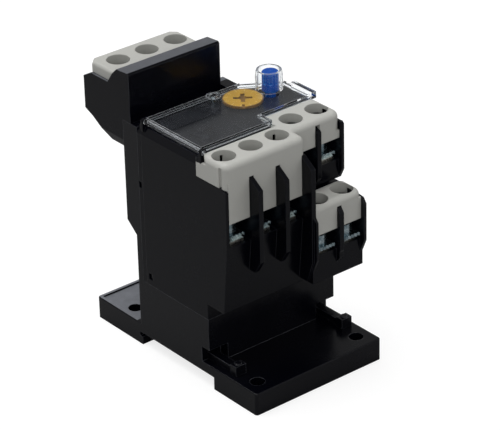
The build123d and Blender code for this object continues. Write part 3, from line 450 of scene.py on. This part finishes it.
def clear_plastic():
    """Clear moulded plastic with a pale layer of haze and painted sheen, which lets light through."""
    material, tree, shader = start_material("clear_plastic")
    shader.inputs["Base Color"].default_value = CLEAR_COLOUR
    shader.inputs["Transmission Weight"].default_value = 1.0
    shader.inputs["IOR"].default_value = CLEAR_BEND
    smear = noise(tree, SMEAR_SCALE, detail=5.0)
    spread = raised(tree, smear, SMEAR_START, SMEAR_GAIN)
    tree.links.new(plus(tree, spread, CLEAR_ROUGH), shader.inputs["Roughness"])
    pale = tree.nodes.new("ShaderNodeBsdfDiffuse")
    pale.inputs["Color"].default_value = HAZE_AND_SHEEN_COLOUR
    body = mix_shader(tree, clear_haze_and_sheen(tree, spread), shader.outputs[0], pale.outputs[0])
    through = tree.nodes.new("ShaderNodeBsdfTransparent")
    through.inputs[0].default_value = CLEAR_SHADOW
    shadow = tree.nodes.new("ShaderNodeLightPath").outputs["Is Shadow Ray"]
    surface = mix_shader(tree, shadow, body, through.outputs[0])
    tree.links.new(surface, tree.nodes["Material Output"].inputs["Surface"])
    return material


DIAL_LOW, DIAL_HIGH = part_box("current_dial")
DIAL_FACE = DIAL_HIGH.z - 0.05 * MM
DIAL_MIDDLE = (DIAL_LOW + DIAL_HIGH) / 2
DIAL_RIM = (DIAL_HIGH.x - DIAL_LOW.x) / 2 - 0.35 * MM
DIAL_MARKS = 12
MARK_FROM = 4.4 * MM
MARK_HALF_WIDTH = 0.05
MARK_STRENGTH = 0.55
# Painted shade: brown in the dial's recesses and round its rim.
RECESS_SHADE = 0.8
RIM_SHADE = 0.75
DIAL_ORANGE = (0.41, 0.225, 0.012, 1)
DIAL_WORN = (0.20, 0.10, 0.02, 1)
DIAL_MARK = (0.62, 0.46, 0.18, 1)
DIAL_SHADE_BROWN = (0.10, 0.04, 0.01, 1)


def dial_plastic():
    """Orange dial with painted shade, a brown, in its recesses and round its rim, and short paler marks round its
    face.
    A mark is where the turn about the middle, in marks, is near a half past a whole number."""
    material, group = moulded("dial_plastic", DIAL_ORANGE, DIAL_WORN, wear_and_sheen=0.8, roughness=0.36, specular=0.25,
                              edge=0.2 * MM, cloud=0.25)
    tree = material.node_tree
    dx = minus(tree, object_part(tree, "X"), DIAL_MIDDLE.x)
    dy = minus(tree, object_part(tree, "Y"), DIAL_MIDDLE.y)
    along = math_node(tree, "SQRT", plus(tree, times(tree, dx, dx), times(tree, dy, dy)))
    turn = times(tree, math_node(tree, "ARCTAN2", dy, dx), DIAL_MARKS / (2 * pi))
    aside = math_node(tree, "ABSOLUTE", minus(tree, math_node(tree, "FRACT", turn), 0.5))
    mark = times(tree, math_node(tree, "LESS_THAN", aside, MARK_HALF_WIDTH),
                 math_node(tree, "GREATER_THAN", along, MARK_FROM))
    # Painted shade in the recesses and round the rim.
    recess_shade = times(tree, math_node(tree, "LESS_THAN", object_part(tree, "Z"), DIAL_FACE), RECESS_SHADE)
    painted_rim = times(tree, math_node(tree, "GREATER_THAN", along, DIAL_RIM), RIM_SHADE)
    marked = mix_colour(tree, times(tree, mark, MARK_STRENGTH), group.outputs["Colour"], DIAL_MARK)
    colour = mix_colour(tree, larger(tree, recess_shade, painted_rim), marked, DIAL_SHADE_BROWN)
    tree.links.new(colour, tree.nodes["Principled BSDF"].inputs["Base Color"])
    return material


EDGES = edge_group()
MOULDED = moulded_group(EDGES)
PLATED = plated_group(EDGES)

BLACK = (0.0010, 0.0012, 0.0032, 1)
# Worn colours: partly rubbed wear, partly painted highlight along the edges.
WORN_AND_SHEEN_BLACK = (0.030, 0.032, 0.040, 1)
WORN_AND_SHEEN_BASE = (0.11, 0.115, 0.13, 1)
WARM = (1.0, 1.0, 0.94)
SLATE = (0.95, 1.0, 1.2)
THIN_EDGE = 0.05 * MM

# Name: colour, worn colour (partly wear, partly painted edge highlight), wear, roughness, specular level, then what
# differs from other mouldings, such as dust (partly real dust, partly painted sheen on faces that look up)
MOULDINGS = {
    "black_plastic": (BLACK, WORN_AND_SHEEN_BLACK, 0.7, 0.22, 0.21, {}),
    "base_plastic": (BLACK, WORN_AND_SHEEN_BASE, 1.0, 0.22, 0.30, {"sheen_and_dirt": 0.85, "sheen_and_dirt_from": 18 * MM}),
    "line_block_plastic": (BLACK, WORN_AND_SHEEN_BASE, 0.8, 0.22, 0.21, {"sheen_and_dirt": 0.48}),
    "white_plastic": (grey(0.49, WARM), grey(0.56, WARM), 0.3, 0.42, 0.4, {"cloud": 0.03}),
    "line_cover_plastic": (grey(0.47, WARM), grey(0.54, WARM), 0.3, 0.42, 0.4, {"cloud": 0.03}),
    "panel_plastic": (grey(0.012, SLATE), grey(0.04), 0.2, 0.3, 0.2, {}),
    "button_plastic": ((0.002, 0.062, 0.36, 1), (0.06, 0.36, 0.90, 1), 1.0, 0.24, 0.2, {"edge": 0.6 * MM}),
    "inner_plastic": ((0.50, 0.45, 0.34, 1), (0.6, 0.55, 0.44, 1), 0.2, 0.4, 0.4, {}),
}

# Name: colour, second colour, roughness, then the edge radius where it is finer
PLATINGS = {
    "zinc_steel": ((0.52, 0.62, 0.66, 1), (0.16, 0.24, 0.28, 1), 0.24),
    "plated_brass": ((0.62, 0.62, 0.58, 1), (0.55, 0.53, 0.46, 1), 0.28),
    "spring_steel": ((0.45, 0.45, 0.46, 1), (0.35, 0.35, 0.36, 1), 0.25, THIN_EDGE),
    "bimetal": ((0.55, 0.52, 0.48, 1), (0.45, 0.42, 0.40, 1), 0.3, THIN_EDGE),
    "heater_ribbon": ((0.42, 0.38, 0.33, 1), (0.30, 0.26, 0.24, 1), 0.35, THIN_EDGE),
}

FINISHES = {"clear_plastic": clear_plastic(), "dial_plastic": dial_plastic()}
for finish, (*values, extra) in MOULDINGS.items():
    FINISHES[finish] = moulded(finish, *values, **extra)[0]
for finish, values in PLATINGS.items():
    FINISHES[finish] = plated(finish, *values)

# Solids whose finish isn't that of their material slot: the line block, whose top has dust and painted sheen
SHEEN_AND_DIRT_BLOCKS = {"line_terminal_block": "line_block_plastic"}


def dress_solids():
    """Give every solid the finish of its material slot, and the block whose top has dust and painted sheen its own.
    """
    for entry in frame["record"]["subparts"]:
        node = nodes[entry["node"]]
        node.data.materials.clear()
        node.data.materials.append(FINISHES[SHEEN_AND_DIRT_BLOCKS.get(entry["node"], entry["material_slot"])])


# New pieces

def new_piece(name, points, faces, finish, smooth=False):
    """Object made of an array of points and a list of faces, in one finish."""
    mesh = bpy.data.meshes.new(name)
    mesh.from_pydata(points.tolist(), [], faces)
    if smooth:
        mesh.shade_smooth()
    mesh.materials.append(FINISHES[finish])
    piece = bpy.data.objects.new(name, mesh)
    bpy.context.scene.collection.objects.link(piece)
    return piece


# Serrated front edges of the clamp washers

TOOTH = 0.55 * MM
TEETH = 6
OVERLAP = 0.02 * MM
WASHER = 1.0 * MM
COLUMN_GAP = 1.5 * MM
LEVEL_GAP = 5 * MM


def toothed_edge(name, left, right, front, low, high):
    """Strip in front of a washer: over u along x the front follows a triangle wave
    front - TOOTH * |2 frac(u TEETH) - 1|, and v runs straight up from low to high.
    The back is flat on the washer's face, and the two ends and both flat sides are closed."""
    u = np.linspace(0.0, 1.0, 2 * TEETH + 1)
    x = left + (right - left) * u
    wave = front - TOOTH * np.abs(2.0 * np.mod(u * TEETH, 1.0) - 1.0)
    back = np.full_like(u, front + OVERLAP)
    loops = [(wave, low), (wave, high), (back, high), (back, low)]
    points = np.concatenate([np.stack([x, y, np.full_like(u, z)], axis=1) for y, z in loops])
    n = len(u)
    k = np.arange(n - 1)
    sides = [np.stack([r * n + k, r * n + k + 1, ((r + 1) % 4) * n + k + 1, ((r + 1) % 4) * n + k], axis=1)
             for r in range(4)]
    ends = np.array([[0, n, 2 * n, 3 * n], [4 * n - 1, 3 * n - 1, 2 * n - 1, n - 1]])
    return new_piece(name, points, np.concatenate(sides + [ends]).tolist(), "zinc_steel")


def split_by_gap(points, axis, gap):
    """Groups of points between which the coordinate on one axis jumps by more than a gap."""
    ordered = points[np.argsort(points[:, axis])]
    jumps = np.nonzero(np.diff(ordered[:, axis]) > gap)[0] + 1
    return np.split(ordered, jumps)


def serrate_washers():
    """A toothed strip on every clamp washer that shows, placed from the washers' own corners."""
    for node_name in ("load_clamp_washers", "aux_clamp_washers"):
        corners = np.empty(3 * len(nodes[node_name].data.vertices))
        nodes[node_name].data.vertices.foreach_get("co", corners)
        row = [level for column in split_by_gap(corners.reshape(-1, 3), 0, COLUMN_GAP)
               for level in split_by_gap(column, 2, LEVEL_GAP)]
        for k, washer in enumerate(row, start=1):
            lo, hi = washer.min(axis=0), washer.max(axis=0)
            piece = toothed_edge(f"{node_name}_teeth_{k}", lo[0], hi[0], lo[1], lo[2], lo[2] + WASHER)
            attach(piece, "base")


# Springs that shorten with the button and the contact carrier
# Coils in place of the springs

RING = 8
STEPS = 24

# Node: joint that shortens it, turns, wire radius, end of its box that is held (0 low, 1 high)
SPRINGS = {
    "reset_spring": ("reset_press", 5, 0.22 * MM, 0),
    "contact_spring": ("carrier_lift", 4, 0.18 * MM, 1),
}


def coil(name, low, high, turns, wire):
    """Round wire on a helix between two corners of a box: over u the middle of the wire is
    (R cos a, R sin a, rise u) with a = 2 pi turns u, and v turns about it as wire (cos b out + sin b up).
    The two ends are closed by a face each."""
    u = np.linspace(0.0, 1.0, turns * STEPS + 1)[:, None]
    a = 2 * pi * turns * u
    b = np.linspace(0.0, 2 * pi, RING, endpoint=False)[None, :]
    middle = (low + high) / 2
    out = (high.x - low.x) / 2 - wire + wire * np.cos(b)
    up = low.z + wire + (high.z - low.z - 2 * wire) * u + wire * np.sin(b)
    points = np.stack([middle.x + out * np.cos(a), middle.y + out * np.sin(a), up], axis=2).reshape(-1, 3)
    i, k = np.meshgrid(np.arange(len(u) - 1), np.arange(RING), indexing="ij")
    here, across = i * RING + k, i * RING + (k + 1) % RING
    quads = np.stack([here, here + RING, across + RING, across], axis=2).reshape(-1, 4)
    last = len(points)
    ends = [list(range(RING)), list(range(last - 1, last - RING - 1, -1))]
    return new_piece(name, points, quads.tolist() + ends, "spring_steel", smooth=True)


def wind_springs():
    """Put a coil in place of each spring, sized to its box and fixed to the base, and hide the spring."""
    for node_name, (joint, turns, wire, held) in SPRINGS.items():
        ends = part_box(node_name)
        piece = coil(f"{node_name}_coil", *ends, turns, wire)
        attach(piece, "base")
        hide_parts(node_name)
        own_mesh(piece)


# Floor and light

FLOOR_SIZE = 6.0
FLOOR_GREY = 0.30
FLOOR_LIFT = 0.78
SKY_LIGHT = 0.42
SKY_GLOSS = 0.42
GLOSS_ABOVE = 0.6
SKY_THROUGH = 0.1
HORIZON = 0.08
HORIZON_GAIN = 6.0


def make_floor():
    """Pale floor that the camera sees as white away from the object's shadow."""
    s = FLOOR_SIZE
    mesh = bpy.data.meshes.new("floor")
    mesh.from_pydata([(-s, -s, 0), (s, -s, 0), (s, s, 0), (-s, s, 0)], [], [(0, 1, 2, 3)])
    floor = bpy.data.objects.new("floor", mesh)
    bpy.context.scene.collection.objects.link(floor)
    material, tree, shader = start_material("floor")
    shader.inputs["Base Color"].default_value = grey(FLOOR_GREY)
    shader.inputs["Roughness"].default_value = 0.9
    shader.inputs["Specular IOR Level"].default_value = 0.0
    shader.inputs["Emission Color"].default_value = grey(1.0)
    path = tree.nodes.new("ShaderNodeLightPath").outputs
    seen = larger(tree, path["Is Camera Ray"], path["Is Transmission Ray"])
    tree.links.new(times(tree, seen, FLOOR_LIFT), shader.inputs["Emission Strength"])
    mesh.materials.append(material)


def make_world():
    """Soft even light with a white surround for the camera. What gloss and the clear cover show of it
    is weaker above the horizon."""
    world = bpy.data.worlds.new("studio")
    bpy.context.scene.world = world
    world.use_nodes = True
    tree = world.node_tree
    background = tree.nodes["Background"]
    background.inputs[0].default_value = grey(1.0)
    above = raised(tree, one_axis(tree, "ShaderNodeTexCoord", "Generated", "Z"), HORIZON, HORIZON_GAIN)
    path = tree.nodes.new("ShaderNodeLightPath").outputs
    camera, glossy, clear = (path[f"Is {kind} Ray"] for kind in ("Camera", "Glossy", "Transmission"))
    dimmed = minus(tree, 1.0, times(tree, above, 1.0 - SKY_THROUGH))
    through = times(tree, clear, dimmed)
    fall = minus(tree, 1.0, times(tree, above, 1.0 - GLOSS_ABOVE))
    gloss = times(tree, glossy, times(tree, fall, SKY_GLOSS))
    light = times(tree, minus(tree, 1.0, larger(tree, clear, glossy)), SKY_LIGHT)
    seen = larger(tree, camera, larger(tree, gloss, light))
    tree.links.new(larger(tree, seen, through), background.inputs[1])


# Name, place, size and watts of each square lamp
LAMPS = (
    ("overhead", (-0.15, 0.25, 0.9), 0.7, 5.5),
    ("front_left", (-0.5, -0.9, 0.6), 0.6, 2.0),
    ("right", (0.9, -0.6, 0.5), 0.5, 0.8),
)
LAMP_AIM = Vector((0, 0, 0.045))


def make_lamps():
    """A large soft lamp overhead, one in front at the left and a weak one at the right, all aimed at the middle."""
    for name, place, size, power in LAMPS:
        data = bpy.data.lights.new(name, "AREA")
        data.size = size
        data.energy = power
        lamp = bpy.data.objects.new(name, data)
        turn = (LAMP_AIM - Vector(place)).to_track_quat("-Z", "Y").to_matrix().to_4x4()
        lamp.matrix_world = Matrix.Translation(place) @ turn
        bpy.context.scene.collection.objects.link(lamp)


make_camera()
dress_solids()
serrate_washers()
wind_springs()
make_floor()
make_world()
make_lamps()
bpy.context.scene.view_settings.view_transform = "Standard"
